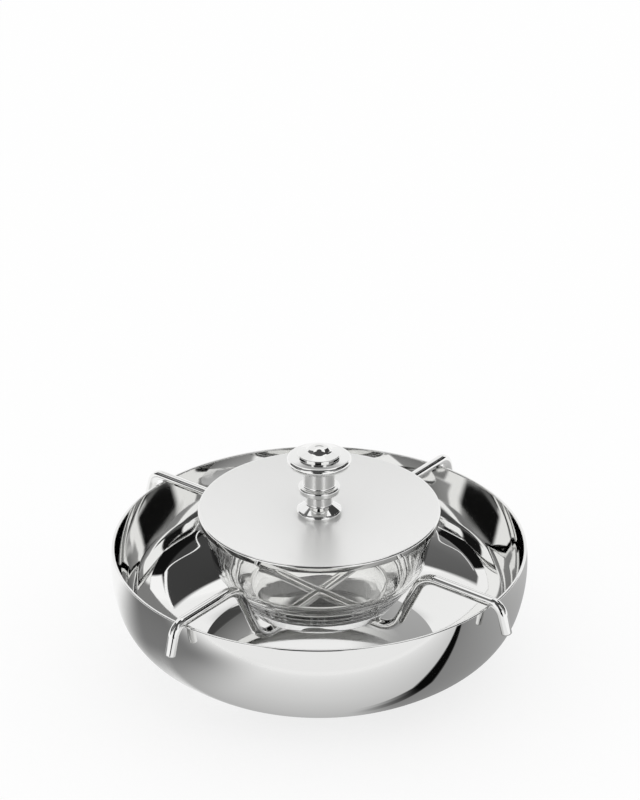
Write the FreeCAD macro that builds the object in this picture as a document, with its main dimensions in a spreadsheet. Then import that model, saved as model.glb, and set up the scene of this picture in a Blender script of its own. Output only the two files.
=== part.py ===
# A caviar server: a spun ice bowl, two bent rods that hook over its rim and cross
# below, a clear glass dish that stands on the crossing, and a dished lid whose turned
# knob is held by a screw from underneath. Millimetres, +Z up, the origin is at the
# middle of the bowl's flat base, and -Y is the front.
import FreeCAD, Part
import math
import os

import Sketcher
from FreeCAD import Vector

# The driving dimensions: name, value in mm or degrees, what it measures.
SIZES = (
    ("rim_diameter", 200.0, "ice bowl across its rim"),
    ("bowl_depth", 60.0, "rim plane above the table"),
    ("bowl_wall", 1.5, "sheet of the ice bowl"),
    ("base_inset", 43.0, "edge of the bowl's flat base inside its rim"),
    ("base_corner", 17.0, "how steeply the bottom's curve leaves the flat base"),
    ("bottom_spare", 16.55, "how far the bottom's curve would run out past the side"),
    ("shoulder_share", 0.525, "radius between bottom and side, as a share of the depth"),
    ("swell", 0.6, "how far the side stands out past the rim"),
    ("swell_share", 0.14667, "widest point below the rim, as a share of the depth"),
    ("rim_round", 0.6, "edge of the rim"),
    ("glass_rim_diameter", 113.2, "glass dish across its rim"),
    ("glass_knee_inset", 5.4, "turn of the dish's side inside its rim"),
    ("glass_base_inset", 20.1, "edge of the dish's flat base inside its rim"),
    ("glass_height", 47.3, "base to rim of the dish"),
    ("glass_knee_height", 20.3, "base to the turn of the side"),
    ("glass_drop", 30.2, "base of the dish below the bowl's rim"),
    ("glass_rim_wall", 2.6, "glass at the rim"),
    ("glass_wall", 3.2, "glass at the turn of the side"),
    ("glass_floor", 6.5, "glass under the caviar"),
    ("glass_floor_inset", 5.0, "inner floor's edge inside the base's edge"),
    ("glass_knee_round", 15.0, "soft turn of the side"),
    ("glass_inner_round", 9.0, "soft inner corner"),
    ("glass_foot_round", 1.2, "edge of the dish's base"),
    ("glass_lip_round", 1.1, "edges of the dish's rim"),
    ("line_height", 16.4, "top ring line above the dish's base"),
    ("line_pitch", 4.1, "from one ring line to the next"),
    ("line_radius", 1.1, "hollow of a ring line"),
    ("line_depth", 0.35, "how deep a ring line goes"),
    ("rod_diameter", 5.0, "round rod of the cradle"),
    ("rod_angle", -38.0, "first rod, seen from above"),
    ("knee_reach", 5.14, "rod's middle past the turn of the dish's side"),
    ("mouth_reach", 5.7, "rod's upper corner past the dish's rim"),
    ("low_bend", 14.0, "bend under the dish"),
    ("mouth_bend", 12.0, "bend beside the dish"),
    ("hook_bend", 7.0, "bend over the bowl's rim"),
    ("hook_reach", 5.6, "rod's outer corner past the bowl's rim"),
    ("hook_splay", 16.0, "hook's lean away from the bowl"),
    ("hook_drop", 11.5, "hook's end below the rim"),
    ("rod_end_round", 0.8, "edge of a hook's end"),
    ("seat_gap", 0.05, "between pieces that rest on each other"),
    ("lap_gap", 0.05, "in the halved joint of the rods"),
    ("lid_sheet", 1.2, "sheet of the lid"),
    ("lid_fit", 0.4, "between the lid's skirt and the dish"),
    ("lid_skirt", 3.4, "height of the turned-down edge"),
    ("lid_dish", 2.9, "middle of the lid below its edge"),
    ("lid_edge_round", 0.9, "upper edge of the lid"),
    ("foot_diameter", 22.4, "knob's foot"),
    ("foot_height", 2.0, "edge of the knob's foot"),
    ("foot_rise", 3.2, "slope of the foot up to the waist"),
    ("waist_diameter", 12.6, "waist between foot and ring"),
    ("waist_height", 5.7, "waist between foot and ring"),
    ("ring_diameter", 20.2, "knob's ring"),
    ("ring_height", 3.8, "knob's ring"),
    ("neck_diameter", 15.4, "neck between ring and disc"),
    ("neck_height", 11.2, "neck between ring and disc"),
    ("disc_diameter", 30.9, "knob's disc"),
    ("disc_height", 3.8, "edge of the knob's disc"),
    ("disc_rise", 0.6, "slope of the disc up to the tier"),
    ("tier_diameter", 20.8, "tier on the disc"),
    ("tier_height", 1.6, "edge of the tier"),
    ("tier_rise", 1.4, "slope of the tier up to the boss"),
    ("boss_diameter", 12.4, "rounded boss on the tier"),
    ("boss_height", 2.7, "boss above its own foot"),
    ("disc_round", 1.85, "edges of the disc and the foot"),
    ("ring_round", 1.3, "edges of the ring"),
    ("tier_round", 0.5, "edge of the tier"),
    ("knob_cove", 1.0, "hollow corners of the neck and the waist"),
    ("boss_cove", 3.0, "hollow between the tier and the boss"),
    ("screw_diameter", 4.0, "screw that holds the knob"),
    ("screw_reach", 10.0, "screw's length in the knob"),
    ("screw_clearance", 0.2, "round the screw in lid and washer"),
    ("thread_gap", 0.05, "round the screw in the knob"),
    ("bore_spare", 2.0, "knob's bore past the screw's end"),
    ("head_diameter", 7.0, "screw's head"),
    ("head_height", 2.6, "screw's head"),
    ("slot_width", 1.0, "screwdriver slot"),
    ("slot_depth", 1.1, "screwdriver slot"),
    ("washer_diameter", 12.0, "washer under the lid"),
    ("washer_thickness", 0.8, "washer under the lid"),
)

# Heights and radii that several pieces share, as formulas of the driving dimensions.
RIM = "Sizes.rim_diameter / 2"
BASE_EDGE = f"({RIM} - Sizes.base_inset)"
CORNER_SINE = "sin(Sizes.base_corner)"
BOTTOM_RADIUS = (
    f"((Sizes.base_inset + Sizes.swell + Sizes.bottom_spare) / (1 - {CORNER_SINE}))"
)
BOTTOM_MIDDLE = f"({BASE_EDGE} - {BOTTOM_RADIUS} * {CORNER_SINE})"
SHOULDER_RADIUS = "(Sizes.shoulder_share * Sizes.bowl_depth)"
SWELL_DROP = "(Sizes.swell_share * Sizes.bowl_depth)"
GLASS_BASE = "(Sizes.bowl_depth - Sizes.glass_drop)"
GLASS_TOP = f"({GLASS_BASE} + Sizes.glass_height)"
GLASS_RIM = "Sizes.glass_rim_diameter / 2"
GLASS_KNEE = f"({GLASS_RIM} - Sizes.glass_knee_inset)"
GLASS_FOOT = f"({GLASS_RIM} - Sizes.glass_base_inset)"
KNEE_HEIGHT = f"({GLASS_BASE} + Sizes.glass_knee_height)"
ROD = "Sizes.rod_diameter / 2"
LOW_RUN = f"({GLASS_BASE} - Sizes.seat_gap - {ROD})"
HIGH_RUN = f"(Sizes.bowl_depth + Sizes.seat_gap + {ROD})"
MOUTH_CORNER = f"({GLASS_RIM} + Sizes.mouth_reach)"
KNEE_PASS = f"({GLASS_KNEE} + Sizes.knee_reach)"
LEG_LEAN = f"(({MOUTH_CORNER} - {KNEE_PASS}) / ({HIGH_RUN} - {KNEE_HEIGHT}))"
FLOOR_CORNER = f"({KNEE_PASS} - {LEG_LEAN} * ({KNEE_HEIGHT} - {LOW_RUN}))"
HOOK_CORNER = f"({RIM} + Sizes.hook_reach)"
HOOK_END = "(Sizes.bowl_depth - Sizes.hook_drop)"
LID_RADIUS = f"({GLASS_RIM} + Sizes.lid_fit + Sizes.lid_sheet)"
DISH_RADIUS = f"(({LID_RADIUS} ^ 2 + Sizes.lid_dish ^ 2) / (2 * Sizes.lid_dish))"
UNDER_RADIUS = f"({DISH_RADIUS} + Sizes.lid_sheet)"
LIP_RADIUS = f"({GLASS_RIM} - Sizes.glass_rim_wall)"
DISH_CENTRE = f"({GLASS_TOP} + Sizes.seat_gap + sqrt({UNDER_RADIUS} ^ 2 - {LIP_RADIUS} ^ 2))"
LID_EDGE = f"({DISH_CENTRE} - {DISH_RADIUS} + Sizes.lid_dish)"
LID_MIDDLE = f"({DISH_CENTRE} - {DISH_RADIUS})"
KNOB_FOOT = "Sizes.foot_diameter / 2"
KNOB_BASE = (
    f"({DISH_CENTRE} - sqrt({DISH_RADIUS} ^ 2 - ({KNOB_FOOT}) ^ 2) + Sizes.seat_gap)"
)
FOOT_TOP = f"({KNOB_BASE} + Sizes.foot_height)"
WAIST_FOOT = f"({FOOT_TOP} + Sizes.foot_rise)"
RING_BOTTOM = f"({WAIST_FOOT} + Sizes.waist_height)"
RING_TOP = f"({RING_BOTTOM} + Sizes.ring_height)"
DISC_BOTTOM = f"({RING_TOP} + Sizes.neck_height)"
DISC_TOP = f"({DISC_BOTTOM} + Sizes.disc_height)"
TIER_FOOT = f"({DISC_TOP} + Sizes.disc_rise)"
TIER_TOP = f"({TIER_FOOT} + Sizes.tier_height)"
BOSS_FOOT = f"({TIER_TOP} + Sizes.tier_rise)"
KNOB_TOP = f"({BOSS_FOOT} + Sizes.boss_height)"
SCREW = "Sizes.screw_diameter / 2"
WASHER_TOP = f"({LID_MIDDLE} - Sizes.lid_sheet - Sizes.seat_gap)"
HEAD_TOP = f"({WASHER_TOP} - Sizes.washer_thickness - Sizes.seat_gap)"

X_AXIS = -1
Y_AXIS = -2
START = 1
END = 2
CENTRE = 3
FULL_TURN = 360
NEAR = 0.01
RING_LINES = 3


def make_sheet(doc):
    sheet = doc.addObject("Spreadsheet::Sheet", "Sizes")
    for row, (name, value, note) in enumerate(SIZES, start=1):
        sheet.set(f"A{row}", name)
        sheet.set(f"B{row}", str(value))
        sheet.set(f"C{row}", note)
        sheet.setAlias(f"B{row}", name)
    doc.recompute()
    return sheet


def number(doc, formula):
    return float(doc.Sizes.evalExpression(formula))


def new_body(doc, label):
    body = doc.addObject("PartDesign::Body", label)
    body.Label = label
    return body


def new_sketch(body, name, role="XZ_Plane"):
    """A sketch on one of the body's own origin planes; on XZ_Plane x is the radius."""
    sketch = body.newObject("Sketcher::SketchObject", name)
    plane = next(f for f in body.Origin.OriginFeatures if f.Role == role)
    sketch.AttachmentSupport = [(plane, "")]
    sketch.MapMode = "FlatFace"
    return sketch


def hold(sketch, name, formula, *constraint):
    """Add a sized constraint and bind it to a formula; an angle's is in degrees."""
    value = number(sketch.Document, formula)
    if constraint[0] == "Angle":
        value = math.radians(value)
    index = sketch.addConstraint(Sketcher.Constraint(*constraint, value))
    sketch.renameConstraint(index, name)
    sketch.setExpression(f"Constraints.{name}", formula)


def pin(sketch, name, geometry, end, across, up):
    """Fix a point of the sketch; a formula of None puts it on the axis."""
    if across is None:
        sketch.addConstraint(Sketcher.Constraint("PointOnObject", geometry, end, Y_AXIS))
    else:
        hold(sketch, f"{name}_x", across, "DistanceX", X_AXIS, START, geometry, end)
    if up is None:
        sketch.addConstraint(Sketcher.Constraint("PointOnObject", geometry, end, X_AXIS))
    else:
        hold(sketch, f"{name}_y", up, "DistanceY", X_AXIS, START, geometry, end)


def join(sketch, first, second, kind="Coincident"):
    """The first piece's end meets the second's start, as a corner or as a tangent."""
    sketch.addConstraint(Sketcher.Constraint(kind, first, END, second, START))


def outline(sketch, corners):
    """A closed outline of straight lines; each corner is a pair of formulas."""
    doc = sketch.Document
    points = [
        Vector(*(0.0 if formula is None else number(doc, formula) for formula in corner), 0)
        for corner in corners
    ]
    lines = [
        sketch.addGeometry(Part.LineSegment(a, b), False)
        for a, b in zip(points, points[1:] + points[:1])
    ]
    for line, following in zip(lines, lines[1:] + lines[:1]):
        join(sketch, line, following)
    for line, corner in zip(lines, corners):
        pin(sketch, f"corner_{line}", line, START, *corner)
    return lines


def revolve(body, sketch, kind="PartDesign::Revolution"):
    feature = body.newObject(kind, f"{sketch.Name}_turned")
    feature.Profile = sketch
    feature.ReferenceAxis = (sketch, ["V_Axis"])
    feature.Angle = FULL_TURN
    sketch.Visibility = False
    body.Document.recompute()
    return feature


def cut_from(before, cut):
    """A cut that misses the solid leaves its volume as it was and shows no error."""
    if cut.Shape.Volume >= before.Shape.Volume:
        raise ValueError(f"{cut.Name} cuts nothing")
    return cut


def turned(body, name, corners):
    sketch = new_sketch(body, name)
    outline(sketch, corners)
    return revolve(body, sketch)


def rings(feature, *places):
    """Names of the round edges at the given radius and height."""
    doc = feature.Document
    wanted = [(number(doc, radius), number(doc, height)) for radius, height in places]
    names = []
    for index, edge in enumerate(feature.Shape.Edges, start=1):
        if edge.Degenerated or not isinstance(edge.Curve, Part.Circle):
            continue
        circle = edge.Curve
        for radius, height in wanted:
            if math.hypot(circle.Radius - radius, circle.Center.z - height) < NEAR:
                names.append(f"Edge{index}")
    if len(names) != len(wanted):
        raise ValueError(f"{feature.Name}: {len(names)} of {len(wanted)} edges found")
    return names


def round_off(body, feature, edges, size):
    fillet = body.newObject("PartDesign::Fillet", f"{feature.Name}_{size}")
    fillet.Base = (feature, edges)
    fillet.setExpression("Radius", f"Sizes.{size}")
    body.Document.recompute()
    return fillet


def round_rings(body, feature, size, *places):
    return round_off(body, feature, rings(feature, *places), size)


def arc_between(centre, radius, first, last):
    """An arc run anticlockwise from one angle to the other, in radians."""
    circle = Part.Circle(centre, Vector(0, 0, 1), radius)
    return Part.ArcOfCircle(circle, first, last)


def build_ice_bowl(doc):
    """Spun from one sheet: flat base with a crisp edge, round bottom, shoulder and side."""
    body = new_body(doc, "ice_bowl")
    side_radius = f"(({SWELL_DROP} ^ 2 + Sizes.swell ^ 2) / (2 * Sizes.swell))"
    side_height = f"Sizes.bowl_depth - {SWELL_DROP}"
    base = number(doc, BASE_EDGE)
    bottom = number(doc, BOTTOM_RADIUS)
    shoulder = number(doc, SHOULDER_RADIUS)
    side = number(doc, side_radius)
    rim = Vector(number(doc, RIM), number(doc, "Sizes.bowl_depth"), 0)
    side_middle = Vector(rim.x + number(doc, "Sizes.swell") - side, number(doc, side_height), 0)
    corner = math.radians(number(doc, "Sizes.base_corner"))
    bottom_middle = Vector(number(doc, BOTTOM_MIDDLE), bottom * math.cos(corner), 0)
    # The shoulder's centre lies where both neighbours can touch it from outside.
    span = bottom_middle - side_middle
    along = ((side - shoulder) ** 2 - (bottom - shoulder) ** 2 + span.Length**2) / (2 * span.Length)
    beside = math.sqrt((side - shoulder) ** 2 - along**2)
    unit = span / span.Length
    shoulder_middle = side_middle + unit * along + Vector(unit.y, -unit.x, 0) * beside
    out = shoulder_middle - side_middle
    down = shoulder_middle - bottom_middle
    side_turn = math.atan2(out.y, out.x)
    bottom_turn = math.atan2(down.y, down.x)
    rim_turn = math.atan2(rim.y - side_middle.y, rim.x - side_middle.x)

    sketch = new_sketch(body, "bowl_outside")
    flat = sketch.addGeometry(Part.LineSegment(Vector(0, 0, 0), Vector(base, 0, 0)), False)
    curves = [
        sketch.addGeometry(arc_between(middle, radius, first, last), False)
        for middle, radius, first, last in (
            (bottom_middle, bottom, corner - math.pi / 2, bottom_turn),
            (shoulder_middle, shoulder, bottom_turn, side_turn),
            (side_middle, side, side_turn, rim_turn),
        )
    ]
    top = sketch.addGeometry(Part.LineSegment(rim, Vector(0, rim.y, 0)), False)
    axis = sketch.addGeometry(Part.LineSegment(Vector(0, rim.y, 0), Vector(0, 0, 0)), False)
    pin(sketch, "middle", flat, START, None, None)
    pin(sketch, "base_edge", flat, END, BASE_EDGE, None)
    join(sketch, flat, curves[0])
    for first, second in zip(curves, curves[1:]):
        join(sketch, first, second, "Tangent")
    for curve, name, formula in zip(
        curves,
        ("bottom", "shoulder", "side"),
        (BOTTOM_RADIUS, SHOULDER_RADIUS, side_radius),
    ):
        hold(sketch, name, formula, "Radius", curve)
    hold(sketch, "bottom_middle", BOTTOM_MIDDLE, "DistanceX", X_AXIS, START, curves[0], CENTRE)
    hold(sketch, "widest", side_height, "DistanceY", X_AXIS, START, curves[-1], CENTRE)
    join(sketch, curves[-1], top)
    join(sketch, top, axis)
    join(sketch, axis, flat)
    pin(sketch, "rim", top, START, RIM, "Sizes.bowl_depth")
    pin(sketch, "mouth", top, END, None, "Sizes.bowl_depth")
    solid = revolve(body, sketch)

    mouth = next(
        f"Face{index}"
        for index, face in enumerate(solid.Shape.Faces, start=1)
        if face.CenterOfMass.z > rim.y - NEAR
    )
    hollow = body.newObject("PartDesign::Thickness", "bowl_hollow")
    hollow.Base = (solid, [mouth])
    hollow.setExpression("Value", "Sizes.bowl_wall")
    hollow.Reversed = True
    doc.recompute()
    edges = [
        f"Edge{index}"
        for index, edge in enumerate(hollow.Shape.Edges, start=1)
        if isinstance(edge.Curve, Part.Circle) and edge.BoundBox.ZMin > rim.y - NEAR
    ]
    round_off(body, hollow, edges, "rim_round")
    return body


def build_glass_dish(doc):
    """Thick clear glass: a steep upper side, a lower side with ring lines, a flat base."""
    body = new_body(doc, "glass_dish")
    blank = turned(
        body,
        "dish_outside",
        (
            (None, GLASS_BASE),
            (GLASS_FOOT, GLASS_BASE),
            (GLASS_KNEE, KNEE_HEIGHT),
            (GLASS_RIM, GLASS_TOP),
            (None, GLASS_TOP),
        ),
    )
    soft = round_rings(body, blank, "glass_knee_round", (GLASS_KNEE, KNEE_HEIGHT))
    footed = round_rings(body, soft, "glass_foot_round", (GLASS_FOOT, GLASS_BASE))

    floor = f"{GLASS_BASE} + Sizes.glass_floor"
    floor_edge = f"{GLASS_FOOT} - Sizes.glass_floor_inset"
    inner_knee = f"{GLASS_KNEE} - Sizes.glass_wall"
    cavity = new_sketch(body, "dish_inside")
    outline(
        cavity,
        (
            (None, floor),
            (floor_edge, floor),
            (inner_knee, KNEE_HEIGHT),
            (LIP_RADIUS, GLASS_TOP),
            (None, GLASS_TOP),
        ),
    )
    hollow = cut_from(footed, revolve(body, cavity, "PartDesign::Groove"))
    inner = round_rings(
        body, hollow, "glass_inner_round", (floor_edge, floor), (inner_knee, KNEE_HEIGHT)
    )
    lip = round_rings(
        body, inner, "glass_lip_round", (GLASS_RIM, GLASS_TOP), (LIP_RADIUS, GLASS_TOP)
    )

    lines = new_sketch(body, "ring_lines")
    slope = f"(({GLASS_KNEE} - {GLASS_FOOT}) / Sizes.glass_knee_height)"
    for index in range(RING_LINES):
        height = f"(Sizes.line_height - {index} * Sizes.line_pitch)"
        across = f"({GLASS_FOOT} + {slope} * {height} + Sizes.line_radius - Sizes.line_depth)"
        middle = Vector(number(doc, across), number(doc, f"{GLASS_BASE} + {height}"), 0)
        circle = Part.Circle(middle, Vector(0, 0, 1), number(doc, "Sizes.line_radius"))
        ring = lines.addGeometry(circle, False)
        hold(lines, f"hollow_{index}", "Sizes.line_radius", "Radius", ring)
        pin(lines, f"line_{index}", ring, CENTRE, across, f"{GLASS_BASE} + {height}")
    cut_from(lip, revolve(body, lines, "PartDesign::Groove"))
    return body


def rod_corners(doc):
    """Where the straight runs of half a rod would meet without their bends."""
    low = number(doc, LOW_RUN)
    high = number(doc, HIGH_RUN)
    hook = number(doc, HOOK_CORNER)
    end = number(doc, HOOK_END)
    splay = math.radians(number(doc, "Sizes.hook_splay"))
    return [
        Vector(0, low, 0),
        Vector(number(doc, FLOOR_CORNER), low, 0),
        Vector(number(doc, MOUTH_CORNER), high, 0),
        Vector(hook, high, 0),
        Vector(hook + (high - end) * math.tan(splay), end, 0),
    ]


def bend_at(before, corner, after, radius):
    """The two ends and the centre of a bend that rounds one corner."""
    back = (before - corner) / (before - corner).Length
    on = (after - corner) / (after - corner).Length
    half = back.getAngle(on) / 2
    reach = radius / math.tan(half)
    middle = corner + (back + on) / (back + on).Length * (radius / math.sin(half))
    return corner + back * reach, corner + on * reach, middle


def draw_rod_path(doc, sketch):
    """Half of the rod's centre line: under the dish, up beside it, out and over the rim."""
    corners = rod_corners(doc)
    bends = ("low_bend", "mouth_bend", "hook_bend")
    runs = []
    arcs = []
    here = corners[0]
    for index, name in enumerate(bends, start=1):
        radius = number(doc, f"Sizes.{name}")
        start, end, middle = bend_at(*corners[index - 1 : index + 2], radius)
        runs.append(sketch.addGeometry(Part.LineSegment(here, start), False))
        first = math.atan2(start.y - middle.y, start.x - middle.x)
        last = math.atan2(end.y - middle.y, end.x - middle.x)
        turning_up = (start - middle).cross(end - middle).z > 0
        angles = (first, last) if turning_up else (last, first)
        arcs.append((sketch.addGeometry(arc_between(middle, radius, *angles), False), turning_up))
        hold(sketch, name, f"Sizes.{name}", "Radius", arcs[-1][0])
        here = end
    runs.append(sketch.addGeometry(Part.LineSegment(here, corners[-1]), False))
    for run, (arc, turning_up), following in zip(runs, arcs, runs[1:]):
        near, far = (START, END) if turning_up else (END, START)
        sketch.addConstraint(Sketcher.Constraint("Tangent", run, END, arc, near))
        sketch.addConstraint(Sketcher.Constraint("Tangent", arc, far, following, START))
    low, leg, high, hook = runs
    pin(sketch, "middle", low, START, None, LOW_RUN)
    sketch.addConstraint(Sketcher.Constraint("Horizontal", low))
    sketch.addConstraint(Sketcher.Constraint("Horizontal", high))
    hold(sketch, "high_run", HIGH_RUN, "DistanceY", X_AXIS, START, high, START)
    for name, across, up, corner, run in (
        ("floor_corner", FLOOR_CORNER, LOW_RUN, corners[1], leg),
        ("mouth_corner", MOUTH_CORNER, HIGH_RUN, corners[2], leg),
        ("hook_corner", HOOK_CORNER, HIGH_RUN, corners[3], hook),
    ):
        point = sketch.addGeometry(Part.Point(corner), True)
        pin(sketch, name, point, START, across, up)
        sketch.addConstraint(Sketcher.Constraint("PointOnObject", point, START, run))
    hold(sketch, "splay", "Sizes.hook_splay - 90", "Angle", hook)
    hold(sketch, "tip", HOOK_END, "DistanceY", X_AXIS, START, hook, END)


def build_rod(doc, label, turn, notch_above):
    """A round rod bent in one plane, the same both ways, and halved in the middle."""
    body = new_body(doc, label)
    path = new_sketch(body, f"{label}_path")
    draw_rod_path(doc, path)
    section = new_sketch(body, f"{label}_section", "YZ_Plane")
    middle = Vector(0, number(doc, LOW_RUN), 0)
    circle = Part.Circle(middle, Vector(0, 0, 1), number(doc, ROD))
    ring = section.addGeometry(circle, False)
    hold(section, "rod", ROD, "Radius", ring)
    pin(section, "axis", ring, CENTRE, None, LOW_RUN)
    doc.recompute()
    half = body.newObject("PartDesign::AdditivePipe", f"{label}_half")
    half.Profile = section
    half.Spine = path
    path.Visibility = False
    section.Visibility = False
    doc.recompute()
    round_edges = {
        f"Edge{index}": edge.CenterOfMass.x
        for index, edge in enumerate(half.Shape.Edges, start=1)
        if edge.isClosed()
    }
    tip = max(round_edges, key=round_edges.get)
    rounded = round_off(body, half, [tip], "rod_end_round")
    mirror = body.newObject("PartDesign::Mirrored", f"{label}_whole")
    mirror.Originals = [half, rounded]
    plane = next(f for f in body.Origin.OriginFeatures if f.Role == "YZ_Plane")
    mirror.MirrorPlane = (plane, [""])
    body.Tip = mirror
    doc.recompute()

    notch = new_sketch(body, f"{label}_notch")
    reach = f"({ROD} + Sizes.lap_gap)"
    face = f"({LOW_RUN} {'-' if notch_above else '+'} Sizes.lap_gap / 2)"
    beyond = f"({LOW_RUN} {'+' if notch_above else '-'} Sizes.rod_diameter)"
    corners = ((f"-{reach}", face), (reach, face), (reach, beyond), (f"-{reach}", beyond))
    outline(notch, corners)
    pocket = body.newObject("PartDesign::Pocket", f"{label}_halved")
    pocket.Profile = notch
    pocket.Type = "ThroughAll"
    pocket.Midplane = True
    notch.Visibility = False
    doc.recompute()
    cut_from(mirror, pocket)
    body.setExpression(".Placement.Rotation.Angle", turn)
    return body


def build_lid(doc):
    """Spun sheet: a shallow dished top whose edge is turned down over the glass."""
    body = new_body(doc, "lid")
    hole = f"({SCREW} + Sizes.screw_clearance)"
    inner = f"({LID_RADIUS} - Sizes.lid_sheet)"
    skirt_foot = f"({LID_EDGE} - Sizes.lid_skirt)"
    middle = Vector(0, number(doc, DISH_CENTRE), 0)
    above = number(doc, DISH_RADIUS)
    below = number(doc, UNDER_RADIUS)
    hole_radius = number(doc, hole)
    edge = number(doc, LID_RADIUS)
    inside = number(doc, inner)
    foot = number(doc, skirt_foot)

    def on_dish(radius, across):
        return Vector(across, middle.y - math.sqrt(radius**2 - across**2), 0)

    sketch = new_sketch(body, "lid_section")

    def dish_arc(radius, last):
        ends = [on_dish(radius, across) for across in (hole_radius, last)]
        angles = [math.atan2(point.y - middle.y, point.x) for point in ends]
        return sketch.addGeometry(arc_between(middle, radius, *angles), False)

    top = dish_arc(above, edge)
    under = dish_arc(below, inside)
    outer_corner = on_dish(above, edge)
    inner_corner = on_dish(below, inside)
    bore = sketch.addGeometry(
        Part.LineSegment(on_dish(below, hole_radius), on_dish(above, hole_radius)), False
    )
    outer = sketch.addGeometry(Part.LineSegment(outer_corner, Vector(edge, foot, 0)), False)
    bottom = sketch.addGeometry(
        Part.LineSegment(Vector(edge, foot, 0), Vector(inside, foot, 0)), False
    )
    inner_wall = sketch.addGeometry(Part.LineSegment(Vector(inside, foot, 0), inner_corner), False)
    for first, second in ((bore, top), (top, outer), (outer, bottom), (bottom, inner_wall)):
        join(sketch, first, second)
    sketch.addConstraint(Sketcher.Constraint("Coincident", inner_wall, END, under, END))
    sketch.addConstraint(Sketcher.Constraint("Coincident", bore, START, under, START))
    sketch.addConstraint(Sketcher.Constraint("Coincident", top, CENTRE, under, CENTRE))
    pin(sketch, "dish", top, CENTRE, None, DISH_CENTRE)
    hold(sketch, "above", DISH_RADIUS, "Radius", top)
    hold(sketch, "below", UNDER_RADIUS, "Radius", under)
    sketch.addConstraint(Sketcher.Constraint("Vertical", bore))
    hold(sketch, "hole", hole, "DistanceX", X_AXIS, START, bore, START)
    pin(sketch, "outer_foot", outer, END, LID_RADIUS, skirt_foot)
    sketch.addConstraint(Sketcher.Constraint("Vertical", outer))
    pin(sketch, "inner_foot", bottom, END, inner, skirt_foot)
    sketch.addConstraint(Sketcher.Constraint("Vertical", inner_wall))
    section = revolve(body, sketch)
    round_rings(body, section, "lid_edge_round", (LID_RADIUS, LID_EDGE))
    return body


def build_knob(doc):
    """Turned from bar: sloping foot, waist, ring, neck, disc, tier and a rounded boss."""
    body = new_body(doc, "lid_knob")

    def radius(name):
        return f"Sizes.{name}_diameter / 2"

    bore = f"({SCREW} + Sizes.thread_gap)"
    bore_top = f"{KNOB_BASE} + Sizes.screw_reach + Sizes.bore_spare"
    steps = (
        (None, bore_top),
        (bore, bore_top),
        (bore, KNOB_BASE),
        (radius("foot"), KNOB_BASE),
        (radius("foot"), FOOT_TOP),
        (radius("waist"), WAIST_FOOT),
        (radius("waist"), RING_BOTTOM),
        (radius("ring"), RING_BOTTOM),
        (radius("ring"), RING_TOP),
        (radius("neck"), RING_TOP),
        (radius("neck"), DISC_BOTTOM),
        (radius("disc"), DISC_BOTTOM),
        (radius("disc"), DISC_TOP),
        (radius("tier"), TIER_FOOT),
        (radius("tier"), TIER_TOP),
        (radius("boss"), BOSS_FOOT),
    )
    boss_radius = f"((({radius('boss')}) ^ 2 + Sizes.boss_height ^ 2) / (2 * Sizes.boss_height))"
    points = [
        Vector(0 if across is None else number(doc, across), number(doc, up), 0)
        for across, up in steps
    ]
    summit = Vector(0, number(doc, KNOB_TOP), 0)
    boss = number(doc, boss_radius)
    middle = Vector(0, summit.y - boss, 0)
    low = math.atan2(points[-1].y - middle.y, points[-1].x)

    sketch = new_sketch(body, "knob_section")
    lines = [
        sketch.addGeometry(Part.LineSegment(a, b), False) for a, b in zip(points, points[1:])
    ]
    dome = sketch.addGeometry(arc_between(middle, boss, low, math.pi / 2), False)
    axis = sketch.addGeometry(Part.LineSegment(summit, points[0]), False)
    loop = lines + [dome, axis]
    for first, second in zip(loop, loop[1:] + loop[:1]):
        join(sketch, first, second)
    for index, (line, corner) in enumerate(zip(lines, steps)):
        pin(sketch, f"step_{index}", line, START, *corner)
    pin(sketch, "boss_foot", dome, START, *steps[-1])
    hold(sketch, "boss", boss_radius, "Radius", dome)
    pin(sketch, "summit", dome, END, None, KNOB_TOP)
    blank = revolve(body, sketch)

    coved = round_rings(
        body,
        blank,
        "knob_cove",
        (radius("waist"), WAIST_FOOT),
        (radius("waist"), RING_BOTTOM),
        (radius("neck"), RING_TOP),
        (radius("neck"), DISC_BOTTOM),
    )
    flowing = round_rings(body, coved, "boss_cove", (radius("boss"), BOSS_FOOT))
    soft = round_rings(
        body,
        flowing,
        "disc_round",
        (radius("disc"), DISC_BOTTOM),
        (radius("disc"), DISC_TOP),
        (radius("foot"), FOOT_TOP),
    )
    softer = round_rings(
        body, soft, "ring_round", (radius("ring"), RING_BOTTOM), (radius("ring"), RING_TOP)
    )
    round_rings(body, softer, "tier_round", (radius("tier"), TIER_TOP))
    return body


def build_washer(doc):
    """Flat washer between the lid and the screw's head."""
    body = new_body(doc, "knob_washer")
    bore = f"({SCREW} + Sizes.screw_clearance)"
    under = f"({WASHER_TOP} - Sizes.washer_thickness)"
    rim = "Sizes.washer_diameter / 2"
    turned(
        body,
        "washer_section",
        ((bore, under), (rim, under), (rim, WASHER_TOP), (bore, WASHER_TOP)),
    )
    return body


def build_screw(doc):
    """Cheese-head screw, driven up through washer and lid into the knob."""
    body = new_body(doc, "knob_screw")
    head = "Sizes.head_diameter / 2"
    head_foot = f"({HEAD_TOP} - Sizes.head_height)"
    tip = f"({KNOB_BASE} + Sizes.screw_reach)"
    shank = turned(
        body,
        "screw_section",
        (
            (None, head_foot),
            (head, head_foot),
            (head, HEAD_TOP),
            (SCREW, HEAD_TOP),
            (SCREW, tip),
            (None, tip),
        ),
    )
    slot = new_sketch(body, "screw_slot")
    half = "Sizes.slot_width / 2"
    roof = f"({head_foot} + Sizes.slot_depth)"
    below = f"({head_foot} - Sizes.slot_depth)"
    outline(slot, ((f"-{half}", below), (half, below), (half, roof), (f"-{half}", roof)))
    cut = body.newObject("PartDesign::Pocket", "screw_slot_cut")
    cut.Profile = slot
    cut.Type = "ThroughAll"
    cut.Midplane = True
    slot.Visibility = False
    doc.recompute()
    cut_from(shank, cut)
    return body


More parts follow.
